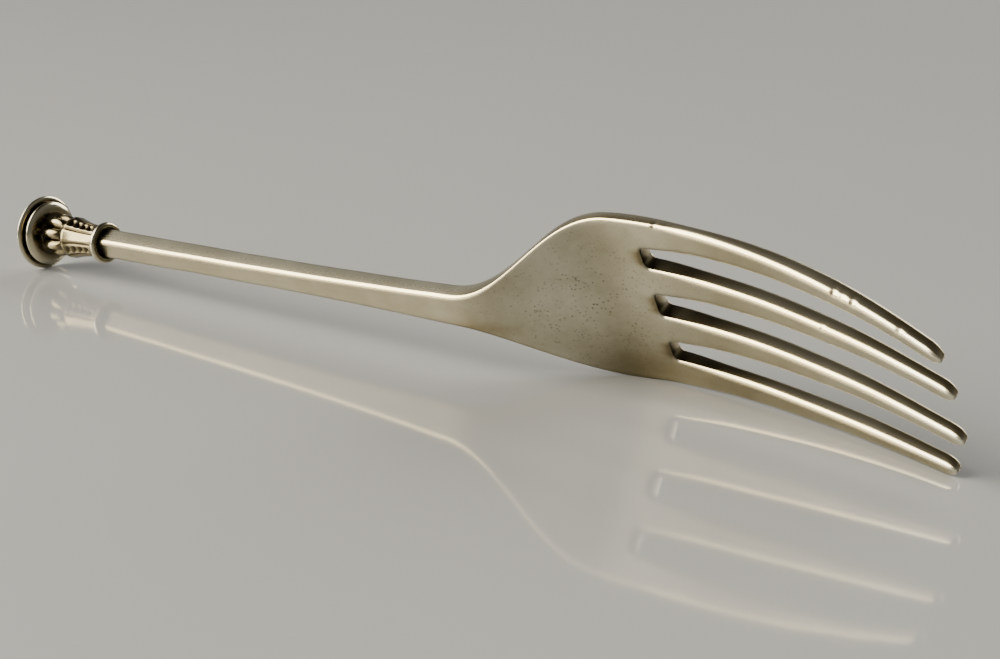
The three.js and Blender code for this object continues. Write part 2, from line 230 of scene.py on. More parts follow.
def tine_sides(tine, x):
    """The two sides of a tine at x."""
    along = share(x, SLOT_X, tip_of(tine))
    half = lerp(TINE_ROOT_WIDTH, TINE_TIP_WIDTH, 1 - (1 - along) ** TINE_TAPER) / 2
    outer = tine in (0, TINES - 1)
    middle = half_width(x) - half if outer else lerp(INNER_ROOT_Y, INNER_TIP_Y, along ** 2)
    width = half * math.sqrt(1 - rounding_of(tine, x) ** 2)
    y = (-middle if tine < TINES / 2 else middle) - TINE_LEAN[tine] * along ** 3
    return y - width, y + width


class Skin:
    """Grows a closed mesh from rows of points."""

    def __init__(self):
        self.points = []
        self.faces = []

    def vertex(self, x, y, z):
        self.points.append((x, y, z))
        return len(self.points) - 1

    def strip(self, first, second):
        for i in range(len(first) - 1):
            self.faces.append((first[i], first[i + 1], second[i + 1], second[i]))

    def close(self, ring, centre):
        for i, vertex in enumerate(ring):
            self.faces.append((vertex, ring[(i + 1) % len(ring)], centre))

    def on_front(self, x, y):
        return self.vertex(x, y, front(x))

    def on_back(self, x, y):
        return self.vertex(x, y, back(x, y))

    def edge_band(self, x, y, in_x, in_y, radius):
        """The rounded edge at one place of the outline, from front to back."""
        band = []
        for k in range(BAND + 1):
            angle = math.pi / 2 * min(k, BAND - k) / EDGE_STEPS
            inset = radius * (1 - math.sin(angle))
            drop = radius * (1 - math.cos(angle))
            px = x + in_x * inset
            py = y + in_y * inset
            z = front(px) - drop if k <= EDGE_STEPS else back(px, py) + drop
            band.append(self.vertex(px, py, z))
        return band

    def side_band(self, side, x, into, radius):
        slope = (side(x) - side(x - SLOPE_STEP)) / SLOPE_STEP
        long = math.hypot(slope, 1)
        return self.edge_band(x, side(x), -into * slope / long, into / long, radius)

    def between(self, left, right, shares, place):
        """A row of points from left to right, at these shares of the way."""
        a, b = self.points[left], self.points[right]
        row = [place(lerp(a[0], b[0], t), lerp(a[1], b[1], t)) for t in shares]
        return [left] + row + [right]

    def join(self, a, b):
        self.strip(b["front"], a["front"])
        self.strip(a["back"], b["back"])
        self.strip(a["left"], b["left"])
        self.strip(b["right"], a["right"])

    def join_all(self, rows):
        for a, b in zip(rows, rows[1:]):
            self.join(a, b)

    def row(self, left, right, front_shares, back_shares):
        return {
            "left": left,
            "right": right,
            "front": self.between(left[0], right[0], front_shares, self.on_front),
            "back": self.between(left[-1], right[-1], back_shares, self.on_back),
        }

    def even_row(self, left, right):
        shares = [i / TINE_COLUMNS for i in range(1, TINE_COLUMNS)]
        return self.row(left, right, shares, shares)

    def shares_of(self, row):
        """How far along a row each of its inner points lies."""
        ys = [self.points[vertex][1] for vertex in row]
        return [(y - ys[0]) / (ys[-1] - ys[0]) for y in ys[1:-1]]


def ring_of(row):
    return row["front"] + row["right"][1:-1] + row["back"][::-1] + row["left"][::-1][1:-1]


def find_slots():
    """The middle of each slot's end, and half the length of its straight part."""
    slots = []
    for tine in range(TINES - 1):
        low = tine_sides(tine, SLOT_X)[1]
        high = tine_sides(tine + 1, SLOT_X)[0]
        slots.append(((low + high) / 2, (high - low) / 2 - SLOT_CORNER))
    return slots


def outer_bands(skin, x):
    radius = edge_radius(x)
    lower = skin.side_band(lambda px: -half_width(px), x, 1, radius)
    return lower, skin.side_band(half_width, x, -1, radius)


def tine_edge(skin, slots, tine, x, side, corner):
    into = 1 if side == 0 else -1
    outer = (tine, side) in ((0, 0), (TINES - 1, 1))
    if corner is not None and not outer:
        middle, flat = slots[tine - 1 if side == 0 else tine]
        y = middle + into * (flat + SLOT_CORNER * math.sin(corner))
        in_x, in_y = -math.cos(corner), into * math.sin(corner)
        return skin.edge_band(x, y, in_x, in_y, PALM_EDGE_RADIUS)
    low, high = tine_sides(tine, x)
    radius = min(edge_radius(x), WIDTH_SHARE * (high - low), THICKNESS_SHARE * thickness(x))
    if outer and x < SLOT_X:
        return skin.side_band(lambda px: -into * half_width(px), x, into, radius)
    return skin.side_band(lambda px: tine_sides(tine, px)[side], x, into, radius)


def tine_row(skin, slots, tine, x, corner=None):
    left = tine_edge(skin, slots, tine, x, 0, corner)
    right = tine_edge(skin, slots, tine, x, 1, corner)
    return skin.even_row(left, right)


def squeeze_row(skin, row, tine):
    """A tip is rounded across its thickness as well as across its width."""
    for vertex in ring_of(row):
        x, y, z = skin.points[vertex]
        middle = (front(x) + back(x, y)) / 2
        squeeze = math.sqrt(1 - (TIP_SQUEEZE * rounding_of(tine, x)) ** 2)
        skin.points[vertex] = (x, y, lerp(middle, z, squeeze))
    return row


def grow_tine(skin, slots, tine, start):
    tip = tip_of(tine)
    rows = [start]
    for i in range(1, CORNER_STEPS + 1):
        corner = math.pi / 2 * i / CORNER_STEPS
        rows.append(tine_row(skin, slots, tine, SLOT_X - SLOT_CORNER * math.cos(corner), corner))
    for i in range(1, TINE_ROWS):
        rows.append(tine_row(skin, slots, tine, lerp(SLOT_X, tip - TIP_ROUND, i / TINE_ROWS)))
    for i in range(TIP_ROWS):
        x = tip - TIP_ROUND + TIP_ROUND * math.sin(math.pi / 2 * i / TIP_ROWS)
        rows.append(squeeze_row(skin, tine_row(skin, slots, tine, x), tine))
    skin.join_all(rows)
    low, high = tine_sides(tine, tip)
    end = skin.vertex(tip, (low + high) / 2, (front(tip) + back(tip, low)) / 2)
    skin.close(ring_of(rows[-1])[::-1], end)


def root_row(skin, slots):
    """The row across the palm where the slots begin, and each tine's own share of it."""
    def band(y):
        return skin.edge_band(ROOT_X, y, -1, 0, PALM_EDGE_RADIUS)

    low, high = outer_bands(skin, ROOT_X - PALM_EDGE_RADIUS)
    middles = [band(middle) for middle, _ in slots]
    lefts = [low] + [band(middle + flat) for middle, flat in slots]
    rights = [band(middle - flat) for middle, flat in slots] + [high]
    starts = [skin.even_row(left, right) for left, right in zip(lefts, rights)]
    for slot, middle in enumerate(middles):
        skin.strip(rights[slot], middle)
        skin.strip(middle, lefts[slot + 1])
    row = {"left": low, "right": high, "front": list(starts[0]["front"]), "back": list(starts[0]["back"])}
    for middle, start in zip(middles, starts[1:]):
        row["front"] += [middle[0]] + start["front"]
        row["back"] += [middle[-1]] + start["back"]
    return row, starts


def grow_blank():
    skin = Skin()
    slots = find_slots()
    root, starts = root_row(skin, slots)
    front_shares, back_shares = skin.shares_of(root["front"]), skin.shares_of(root["back"])
    stem = [lerp(FLUTED_X, NECK_X, i / STEM_ROWS) for i in range(STEM_ROWS)]
    palm = [lerp(NECK_X, ROOT_X - PALM_EDGE_RADIUS, i / PALM_ROWS) for i in range(PALM_ROWS)]
    rows = [skin.row(*outer_bands(skin, x), front_shares, back_shares) for x in stem + palm] + [root]
    skin.join_all(rows)
    skin.close(ring_of(rows[0]), skin.vertex(FLUTED_X, 0, AXIS_Z))
    for tine, start in enumerate(starts):
        grow_tine(skin, slots, tine, start)
    return skin


# Tarnish on the finial, and painted shade in its hollows and creases, from 0 for clean to 1 for black.
FOOT_FALL = 0.5
MOUTH_SHADE = 0.3
DEEP_MOUTH_SHADE = 0.6
SEAM_TARNISH = 0.6
NOTCH_TARNISH = 0.55
NECK_FOOT_X = FLUTED_X - 0.6
KNOP_SHADE = 0.5
KNOP_SHADE_X = lerp(SEAL_X, KNOP_X, 0.3)
FACE_TARNISH = 0.2
FACE_EDGE_TARNISH = 0.35
RIM_TARNISH = 0.15
OVOLO_TARNISH = 0.2
OVOLO_FOOT_SHADE = 0.8


def bead(from_x, to_x, radius, height, steps, darkness=0.0):
    """A rounded moulding of a profile, as a half ellipse. Its feet, down in the creases, are darkest:
    painted shade.
    """
    points = []
    for i in range(steps + 1):
        angle = math.pi * i / steps
        x = lerp(from_x, to_x, (1 - math.cos(angle)) / 2)
        foot = lerp(1, darkness, math.sin(angle) ** FOOT_FALL)
        points.append((x, radius + height * math.sin(angle), foot))
    return points


def line(a, b, steps):
    return [tuple(lerp(p, q, i / steps) for p, q in zip(a, b)) for i in range(steps + 1)]


def turn(profile, shape, closed):
    """Turns a profile of (x, radius, darkness) about the stem's axis, the darkness being tarnish and
    painted shade. shape gives the final radius.
    """
    skin = Skin()
    darkening = []
    rings = []
    for x, radius, darkness in profile:
        ring = []
        for k in range(ROUND_STEPS):
            angle = 2 * math.pi * k / ROUND_STEPS
            r, dirt_and_shade = shape(x, radius, angle)
            ring.append(skin.vertex(x, r * math.sin(angle), AXIS_Z + r * math.cos(angle)))
            darkening.append(max(darkness, dirt_and_shade))
        rings.append(ring + ring[:1])
    for a, b in zip(rings, rings[1:]):
        skin.strip(a, b)
    if closed:
        skin.strip(rings[-1], rings[0])
    else:
        for ring, (x, _, darkness) in ((rings[0], profile[0]), (rings[-1], profile[-1])):
            skin.close(ring[:-1], skin.vertex(x, 0, AXIS_Z))
            darkening.append(darkness)
    return skin, np.array(darkening)


def plain(x, radius, angle):
    return radius, 0.0


def notch_at(x, angle):
    panel = round(angle / PANEL_ANGLE)
    place = (x - LIP_X) / NOTCH_PITCH
    if panel % 2 == 1 or not 0 < place < NOTCHES:
        return 0.0
    off = (angle - panel * PANEL_ANGLE) / NOTCH_HALF_ANGLE
    along = (place % 1 - 0.5) * NOTCH_PITCH / NOTCH_LENGTH
    return math.exp(-(off ** 4) - along ** 2)


def neck_shape(x, radius, angle):
    off = abs(angle - round(angle / PANEL_ANGLE) * PANEL_ANGLE)
    seam = math.exp(-((PANEL_ANGLE / 2 - off) / SEAM_HALF_ANGLE) ** 2)
    swell = math.sqrt(math.sin(math.pi * share(x, KNOP_X, FLUTED_X)))
    notch = notch_at(x, angle)
    flat = radius * PANEL_SHARE / math.cos(off)
    cut = FLUTE_DEPTH * seam + NOTCH_DEPTH * notch
    return lerp(radius, flat - cut, swell), max(SEAM_TARNISH * seam * swell, NOTCH_TARNISH * notch)


def knop_shape(x, radius, angle):
    # The gaps between the lobes, and the knop's end towards the neck, are darkened as painted shade.
    groove = 1 - abs(math.cos(PANELS / 2 * angle)) ** LOBE_SHARPNESS
    fullness = smooth(radius, KNOP_END_RADIUS, KNOP_RADIUS)
    shade = KNOP_SHADE * share(x, KNOP_SHADE_X, KNOP_X)
    return radius - LOBE_DEPTH * groove * fullness, max(groove, shade)


def grow_collar():
    swell = COLLAR_RADIUS - COLLAR_SIDE_RADIUS
    outer = bead(FLUTED_X, 0, COLLAR_SIDE_RADIUS, swell, BEAD_STEPS)
    # The collar's mouth and the bore inside it are darkened as painted shade.
    side = (0, COLLAR_SIDE_RADIUS, MOUTH_SHADE)
    mouth = line(side, (0, COLLAR_BORE, DEEP_MOUTH_SHADE), SHORT_STEPS)[1:]
    bore = line((0, COLLAR_BORE, 1), (FLUTED_X, COLLAR_BORE, 1), BORE_STEPS)
    return turn(outer + mouth + bore, plain, True)


def grow_neck():
    profile = []
    # The lip darkens into the crease at the knop, and the trumpet towards the collar, as painted shade.
    for sine, cosine in quarter(LIP_STEPS):
        radius = lerp(KNOP_END_RADIUS, FLUTED_LIP_RADIUS, sine)
        profile.append((lerp(KNOP_X, LIP_X, 1 - cosine), radius, cosine))
    for i in range(1, TRUMPET_ROWS + 1):
        x = lerp(LIP_X, FLUTED_X, i / TRUMPET_ROWS)
        radius = lerp(FLUTED_WAIST_RADIUS, FLUTED_LIP_RADIUS, share(x, FLUTED_X, LIP_X) ** 2)
        profile.append((x, radius, smooth(x, NECK_FOOT_X, FLUTED_X)))
    return turn(profile, neck_shape, False)


def grow_knop():
    swell = KNOP_RADIUS - KNOP_END_RADIUS
    return turn(bead(SEAL_X, KNOP_X, KNOP_END_RADIUS, swell, KNOP_STEPS), knop_shape, False)


def ovolo_profile():
    """A round moulding, tucked in towards the groove behind the rim, and darker towards its feet as painted
    shade.
    """
    points = []
    for i in range(OVOLO_STEPS + 1):
        angle = lerp(-OVOLO_TUCK, math.pi / 2, i / OVOLO_STEPS)
        x = lerp(OVOLO_X, OVOLO_END_X, share(math.sin(angle), -math.sin(OVOLO_TUCK), 1))
        radius = lerp(SEAL_OVOLO_END_RADIUS, SEAL_OVOLO_RADIUS, math.cos(angle))
        points.append((x, radius, lerp(OVOLO_TARNISH, OVOLO_FOOT_SHADE, (angle / (math.pi / 2)) ** 2)))
    return points


def grow_seal():
    face_end = (END_X, FACE_END_RADIUS, FACE_EDGE_TARNISH)
    face = line((END_X, FACE_START_RADIUS, FACE_TARNISH), face_end, FACE_STEPS)
    swell = SEAL_RADIUS - SEAL_FACE_RADIUS
    rim = bead(END_X, RIM_X, SEAL_FACE_RADIUS, swell, BEAD_STEPS, RIM_TARNISH)
    ovolo = ovolo_profile()
    # The groove behind the rim and the cove under the ovolo are black with painted shade.
    groove = line((RIM_X, SEAL_GROOVE_RADIUS, 1), (OVOLO_X, ovolo[0][1], 1), SHORT_STEPS)
    cove = []
    for sine, cosine in quarter(COVE_STEPS):
        radius = lerp(SEAL_OVOLO_END_RADIUS, KNOP_END_RADIUS, sine)
        cove.append((lerp(OVOLO_END_X, SEAL_X, 1 - cosine), radius, 1))
    return turn(face + rim + groove + ovolo + cove[1:], plain, False)


# Hand work and wear: the faces wave a little, and the edges carry a few old nicks.
WAVE_SIZE = 0.05
WAVE_LENGTH = 11.0
WAVE_SEED = 24
NICK_SPREAD = 0.5


def weather(points):
    noise.seed_set(WAVE_SEED)
    moved = []
    for p in points:
        wave = noise.noise_vector(Vector(p) / WAVE_LENGTH) * WAVE_SIZE
        moved.append((p[0], p[1] + wave.y, p[2] + wave.z))
    return np.array(moved)


def nick(points, tine, x, depth, length):
    """A dent in the upper front edge of a tine."""
    off = points - np.array([x, tine_sides(tine, x)[1], front(x)])
    across = (off[:, 1] ** 2 + off[:, 2] ** 2) / NICK_SPREAD
    near = np.exp(-(off[:, 0] / length) ** 2 - across)
    points[:, 1] -= depth * near
    points[:, 2] -= depth * near


def nick_edges(points):
    nick(points, tine=3, x=91.6, depth=0.1, length=0.3)
    nick(points, tine=3, x=116.4, depth=0.16, length=0.35)
    nick(points, tine=3, x=117.5, depth=0.12, length=0.5)
    nick(points, tine=3, x=118.9, depth=0.16, length=0.35)
    nick(points, tine=3, x=125.1, depth=0.12, length=0.4)
    nick(points, tine=2, x=113.3, depth=0.12, length=0.35)


# Tarnish and painted shade on the blank, from 0 for clean to 1 for black.
PALM_WALL_TARNISH = 0.05
TINE_WALL_TARNISH = 0.5
TIP_WALL_TARNISH = 0.3
TINE_FACE_TARNISH = 0.52
STEM_FACE_TARNISH = 0.5
# A patch of painted shade on the palm's lower side, towards the table.
LOW_PALM_SHADE = 0.36
HIGH_PALM_TARNISH = 0.09
NECK_TARNISH = 0.2
BACK_TARNISH = 0.1
# Painted shade on the palm's downward faces, next to the table.
UNDER_PALM_SHADE = 0.75
# Painted shade in the slots: on the walls and rims at the slots' ends, taken off the end walls that face
# the tips.
SLOT_WALL_SHADE = 1.6
SLOT_RIM_SHADE = 0.5
SLOT_END_SHADE_CUT = 0.9
UPPER_TINE_SHINE = 0.25
TIP_DULLNESS = 0.8

# Where it begins and is complete along x.
TINE_WALLS_X = (SHOULDER_X, SHOULDER_X + 14)
TINE_FACES_X = (ROOT_X - 8, ROOT_X + 10)
UPPER_TINES_X = (ROOT_X + 16, ROOT_X + 32)
TIPS_X = (BLADE_LENGTH - 16, BLADE_LENGTH - 4)
STEM_FACE_X = (NECK_X + 14, NECK_X - 2)
UNDER_NECK_X = (NECK_X, NECK_X + 8)
UNDER_ROOT_X = (SLOT_X, SLOT_X - 8)

# Where it begins and is complete across the metal, from 0 at the front to 1 at the back.
ON_FRONT = (0.15, 0)
ON_BACK = (0.8, 1)
WALL_START = (0.15, 0.6)
WALL_END = (1, 0.8)
TIP_WALL = (0.15, 0.4)
# Depths of the painted shade at the tines' roots, and the depth from which end walls facing the tips lose
# it.
ROOT_SHADE_START = (0.12, 0.27)
ROOT_SHADE_END = (0.97, 0.77)
FACING_TIPS_DEPTH = (0.2, 0.4)
RIM_DEPTH = 0.1

# Which way the metal faces there, as a part of its unit normal.
FACING_TIPS = (0.55, 0.85)
FACING_DOWN = (-0.25, -0.75)
FACING_UP = (-0.3, 0)
FACING_SIDEWAYS = (0.6, 0.8)

# Reaches of the painted shade in the slots, of rubbing and of pits, in millimetres.
ROOT_SHADE_REACH = 9
SLOT_END_X = ROOT_X + 0.3
SLOT_END_REACH = 1.2
SLOT_WALL_REACH = 1.4
SLOT_RIM_REACH = 0.5
OUTER_EDGE = 2
LOWEST_TINE_Y = -6
RUB_START = (0, 0.03)
RUB_END = (0.7, 0.4)
PIT_X = 0.62 * BLADE_LENGTH
PIT_REACH = 13
PIT_FADE_Y = (15.4, 1.4)


def ramp(values, start, end):
    """Rises from 0 at start to 1 at end, which may lie on either side of it."""
    return np.clip((values - start) / (end - start), 0, 1)


def spot(values, middle, reach):
    return np.exp(-((values - middle) / reach) ** 2)


def depth_of(points):
    """How deep each point lies, from 0 at the front to 1 at the back of the metal."""
    x, y, z = points.T
    fronts = np.array([front(v) for v in x])
    backs = np.array([back(v, w) for v, w in zip(x, y)])
    return (fronts - z) / (fronts - backs)


def wall_tarnish(x, depth):
    """The side walls, darker along the tines and darkest towards their tips."""
    wall = ramp(depth, *WALL_START) * ramp(depth, *WALL_END)
    along = lerp(PALM_WALL_TARNISH, TINE_WALL_TARNISH, ramp(x, *TINE_WALLS_X))
    return wall * along + TIP_WALL_TARNISH * ramp(x, *TIPS_X) * ramp(depth, *TIP_WALL)


def slot_shade(x, y, depth, normals):
    """Painted shade between the roots of the tines and at the slots' ends. The slots' end walls, facing the
    tips, have it taken off and stay bright.
    """
    inner = (x > ROOT_X) & (np.abs(y) < HEAD_WIDTH / 2 - OUTER_EDGE)
    side = ramp(depth, *ROOT_SHADE_START) * ramp(depth, *ROOT_SHADE_END)
    root = inner * side * spot(np.maximum(x, SLOT_X), SLOT_X, ROOT_SHADE_REACH)
    on_wall = depth > RIM_DEPTH
    reach = np.where(on_wall, SLOT_WALL_REACH, SLOT_RIM_REACH)
    ends = np.zeros(len(x))
    for middle, flat in find_slots():
        off = np.clip(np.abs(y - middle) - flat, 0, None)
        ends = np.maximum(ends, spot(x, SLOT_END_X, SLOT_END_REACH) * spot(off, 0, reach))
    ends *= np.where(on_wall, SLOT_WALL_SHADE, SLOT_RIM_SHADE)
    facing_tips_wall = ramp(normals[:, 0], *FACING_TIPS) * ramp(depth, *FACING_TIPS_DEPTH)
    return (root + ends) * (1 - SLOT_END_SHADE_CUT * facing_tips_wall)


def stain(x, y, along, across, length, width):
    return spot(x, along, length) * spot(y, across, width)


def face_tarnish_and_shade(x, y, depth):
    """The stem and the tines are duller than the palm, which has a few stains of its own, and painted shade
    on its lower side, towards the table.
    """
    brighter = (y > LOWEST_TINE_Y) * ramp(x, *UPPER_TINES_X)
    tines = TINE_FACE_TARNISH * ramp(x, *TINE_FACES_X) * (1 - UPPER_TINE_SHINE * brighter)
    stem = STEM_FACE_TARNISH * ramp(x, *STEM_FACE_X)
    # A patch of painted shade on the palm's lower side, towards the table.
    low_palm_shade = stain(x, y, along=0.65 * BLADE_LENGTH, across=-10.5, length=11, width=4.2)
    high_palm = stain(x, y, along=ROOT_X - 3, across=8, length=9, width=5)
    neck = stain(x, y, along=0.49 * BLADE_LENGTH, across=-2.5, length=7, width=1.2)
    stains_and_shade = LOW_PALM_SHADE * low_palm_shade + HIGH_PALM_TARNISH * high_palm + NECK_TARNISH * neck
    return (tines + stem) * ramp(depth, *ON_FRONT) + stains_and_shade + BACK_TARNISH * ramp(depth, *ON_BACK)


def under_palm(x, normals):
    """Painted shade on the palm's lower edge, where it faces down to the table."""
    along = ramp(x, *UNDER_NECK_X) * ramp(x, *UNDER_ROOT_X)
    return UNDER_PALM_SHADE * along * ramp(normals[:, 2], *FACING_DOWN)


def blank_tarnish_and_shade(points, normals):
    x, y, _ = points.T
    depth = depth_of(points)
    dirt_and_shade = wall_tarnish(x, depth) + slot_shade(x, y, depth, normals) + face_tarnish_and_shade(x, y, depth)
    return np.clip(np.clip(dirt_and_shade, 0, 1) + under_palm(x, normals), 0, 1)


def blank_rub(points, normals):
    """Where hands and polishing have kept the front edges bright, less so at the tips. Only edges that face
    up are marked, so their tint is a painted highlight colour.
    """
    x, y, z = points.T
    drop = np.array([front(v) for v in x]) - z
    slot_end = (np.abs(x - ROOT_X) < SLOT_CORNER) & (np.abs(y) < HEAD_WIDTH / 2 - TINE_ROOT_WIDTH / 2)
    upper = ramp(normals[:, 2], *FACING_UP) * ~slot_end
    return upper * (1 - TIP_DULLNESS * ramp(x, *TIPS_X)) * ramp(drop, *RUB_START) * ramp(drop, *RUB_END)


def blank_pits(points, normals):
    """The two broad faces of the palm are pitted, its edges are not."""
    x, y, _ = points.T
    broad = ramp(np.abs(normals[:, 1]), *FACING_SIDEWAYS)
    return broad * spot(x, PIT_X, PIT_REACH) * ramp(np.abs(y), *PIT_FADE_Y)


def show(name, data):
    thing = bpy.data.objects.new(name, data)
    bpy.context.scene.collection.objects.link(thing)
    return thing


def make_piece(name, node, points, faces):
    mesh = bpy.data.meshes.new(name)
    placed = [(REST_TURN @ Vector(p) + REST_SHIFT) * MM for p in points]
    mesh.from_pydata(placed, [], faces)
    grown = bmesh.new()
    grown.from_mesh(mesh)
    bmesh.ops.recalc_face_normals(grown, faces=grown.faces)
    grown.to_mesh(mesh)
    grown.free()
    mesh.polygons.foreach_set("use_smooth", [True] * len(mesh.polygons))
    mesh.set_sharp_from_angle(angle=SHARP_ANGLE)
    piece = show(name, mesh)
    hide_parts(node)
    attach(piece, "root")
    return piece


def mark(piece, **marks):
    """Stores what the material needs to know at each point of the piece."""
    for label, values in marks.items():
        piece.data.attributes.new(label, "FLOAT", "POINT").data.foreach_set("value", values)


class Nodes:
    """A short way to build a node tree."""

    def __init__(self, owner):
        owner.use_nodes = True
        self.tree = owner.node_tree
        self.tree.nodes.clear()

    def fill(self, socket, value):
        if isinstance(value, bpy.types.NodeSocket):
            self.tree.links.new(value, socket)
        else:
            socket.default_value = value

    def add(self, kind, inputs=(), **settings):
        node = self.tree.nodes.new("ShaderNode" + kind)
        for key, value in settings.items():
            setattr(node, key, value)
        for key, value in dict(inputs).items():
            self.fill(node.inputs[key], value)
        return node

    def math(self, operation, a, b, clamp=False):
        return self.add("Math", {0: a, 1: b}, operation=operation, use_clamp=clamp).outputs[0]

    def mix(self, factor, a, b):
        node = self.add("Mix", {"Factor": factor}, data_type="RGBA")
        colours = [socket for socket in node.inputs if socket.type == "RGBA"]
        self.fill(colours[0], a)
        self.fill(colours[1], b)
        return next(socket for socket in node.outputs if socket.type == "RGBA")

    def noise(self, coords, scale, detail):
        inputs = {"Vector": coords, "Scale": scale, "Detail": detail, "Roughness": NOISE_ROUGHNESS}
        return self.add("TexNoise", inputs).outputs[0]

    def remap(self, value, start, end, to_start=0, to_end=1):
        inputs = {0: value, 1: start, 2: end, 3: to_start, 4: to_end}
        return self.add("MapRange", inputs).outputs[0]

    def attribute(self, name):
        return self.add("Attribute", attribute_name=name).outputs["Fac"]


# Old hand-rubbed silver. Scales are in waves per metre.
# The rubbed edges' colour, whose yellow tint paints the colour of the highlights on the upper edges.
RUB_AND_HIGHLIGHT_SILVER = (0.74, 0.64, 0.38, 1)
CLEAN_SILVER = (0.73, 0.70, 0.565, 1)
DULL_SILVER = (0.66, 0.63, 0.505, 1)
# The brown of tarnish, also used for painted shade.
TARNISH_AND_SHADE_BROWN = (0.25, 0.21, 0.12, 1)
# Near black, for the deepest painted shade and the heaviest tarnish.
TARNISH_AND_SHADE_BLACK = (0.03, 0.022, 0.012, 1)
PIT_COLOUR = (0.10, 0.08, 0.05, 1)
NOISE_ROUGHNESS = 0.6
CLOUD_SCALE = 140
MOTTLE_SCALE = 1100
GRAIN_SCALE = 2200
PIT_SCALE = 1900
PIT_CLUSTER_SCALE = 420
PIT_SIZE = (0.1, 0.34)
PIT_CLUSTER = (0.36, 0.6)
CLOUD_RANGE = (0.35, 0.7)
GRAIN_RANGE = (0.3, 0.7)
RUBBING_SCALE = (90, 2400, 2400)
UNEVENNESS = 0.22
BROWN_LIMIT = 0.6
PIT_DARKNESS = 0.9
GRAIN_GLOSS = 0.008
RUBBED_GLOSS = 0.15
RUBBING_RELIEF = 0.35
GRAIN_RELIEF = 0.05
PIT_RELIEF = 3
BUMP_STRENGTH = 0.06
BUMP_HEIGHT = 0.00002


def pit_spots(nodes, here):
    cells = nodes.add("TexVoronoi", {"Vector": here, "Scale": PIT_SCALE}).outputs["Distance"]
    clusters = nodes.remap(nodes.noise(here, PIT_CLUSTER_SCALE, detail=3), *PIT_CLUSTER)
    return nodes.math("MULTIPLY", nodes.remap(cells, *PIT_SIZE, 1, 0), clusters)


def dirt_and_shade_of(nodes, here, clouds, pitted, strength):
    """The stored tarnish and painted shade, broken up by soft clouds and, on pitted faces, by a finer
    mottle.
    """
    mottle = nodes.math("SUBTRACT", nodes.noise(here, MOTTLE_SCALE, detail=3), 0.5)
    mottled = nodes.math("MULTIPLY", mottle, pitted)
    broken = nodes.math("ADD", nodes.math("SUBTRACT", clouds, 0.5), mottled)
    darkness = nodes.math("MULTIPLY", nodes.attribute("grime"), strength)
    return nodes.math("ADD", darkness, nodes.math("MULTIPLY", broken, UNEVENNESS), clamp=True)


def silver_colour(nodes, clouds, dirt_and_shade, rubbed, pits):
    metal = nodes.mix(nodes.remap(clouds, *CLOUD_RANGE), CLEAN_SILVER, DULL_SILVER)
    # Rubbed upper edges take the painted highlight tint.
    polished_and_highlit = nodes.mix(rubbed, metal, RUB_AND_HIGHLIGHT_SILVER)
    browned = nodes.mix(nodes.remap(dirt_and_shade, 0, BROWN_LIMIT), polished_and_highlit, TARNISH_AND_SHADE_BROWN)
    blackened = nodes.mix(nodes.remap(dirt_and_shade, BROWN_LIMIT, 1), browned, TARNISH_AND_SHADE_BLACK)
    return nodes.mix(nodes.math("MULTIPLY", pits, PIT_DARKNESS), blackened, PIT_COLOUR)


def silver_relief(nodes, here, grain, pits):
    stretched = nodes.add("Mapping", {"Vector": here, "Scale": RUBBING_SCALE}).outputs[0]
    rubbing = nodes.math("MULTIPLY", nodes.noise(stretched, 1, detail=3), RUBBING_RELIEF)
    relief = nodes.math("ADD", rubbing, nodes.math("MULTIPLY", grain, GRAIN_RELIEF))
    height = nodes.math("SUBTRACT", relief, nodes.math("MULTIPLY", pits, PIT_RELIEF))
    inputs = {"Strength": BUMP_STRENGTH, "Distance": BUMP_HEIGHT, "Height": height}
    return nodes.add("Bump", inputs).outputs[0]


def silver(name, darkness, roughness, shift):
    """Soft clouds of tone, tarnish and painted shade in the hollows, rubbed edges with a painted highlight
    tint, rubbing marks and small pits.
    """
    material = bpy.data.materials.new(name)
    nodes = Nodes(material)
    place = nodes.add("TexCoord").outputs["Object"]
    here = nodes.add("VectorMath", {0: place, 1: shift}, operation="ADD").outputs[0]
    pitted = nodes.attribute("pits")
    rubbed = nodes.attribute("rub")
    clouds = nodes.noise(here, CLOUD_SCALE, detail=4)
    grain = nodes.noise(here, GRAIN_SCALE, detail=5)
    pits = nodes.math("MULTIPLY", pit_spots(nodes, here), pitted)
    dirt_and_shade = dirt_and_shade_of(nodes, here, clouds, pitted, darkness)
    satin = nodes.remap(grain, *GRAIN_RANGE, roughness - GRAIN_GLOSS, roughness + GRAIN_GLOSS)
    shader = nodes.add("BsdfPrincipled", {
        "Base Color": silver_colour(nodes, clouds, dirt_and_shade, rubbed, pits),
        "Metallic": 1.0,
        "Roughness": nodes.math("SUBTRACT", satin, nodes.math("MULTIPLY", rubbed, RUBBED_GLOSS)),
        "Normal": silver_relief(nodes, here, grain, pits),
    })
    nodes.add("OutputMaterial", {"Surface": shader.outputs[0]})
    return material


BLANK_ROUGHNESS = 0.3
BLANK_DARKENING = 0.9
FINIAL_ROUGHNESS = 0.18
FINIAL_DARKENING = 0.95
FINIAL_SHIFT = (0.1, 0.2, 0.3)
FINIAL_RUB = 0.1
FINIAL_PITS = 0.3


def dress_blank():
    skin = grow_blank()
    drawn = np.array(skin.points)
    points = weather(skin.points)
    nick_edges(points)
    piece = make_piece("forged_blank", "fork_blank", points, skin.faces)
    normals = np.array([normal.vector for normal in piece.data.vertex_normals])
    # The first mark holds tarnish and painted shade, the second rubbed edges with a painted highlight tint.
    mark(
        piece,
        grime=blank_tarnish_and_shade(drawn, normals),
        rub=blank_rub(drawn, normals),
        pits=blank_pits(drawn, normals),
    )
    piece.data.materials.append(silver("blank_silver", BLANK_DARKENING, BLANK_ROUGHNESS, (0, 0, 0)))


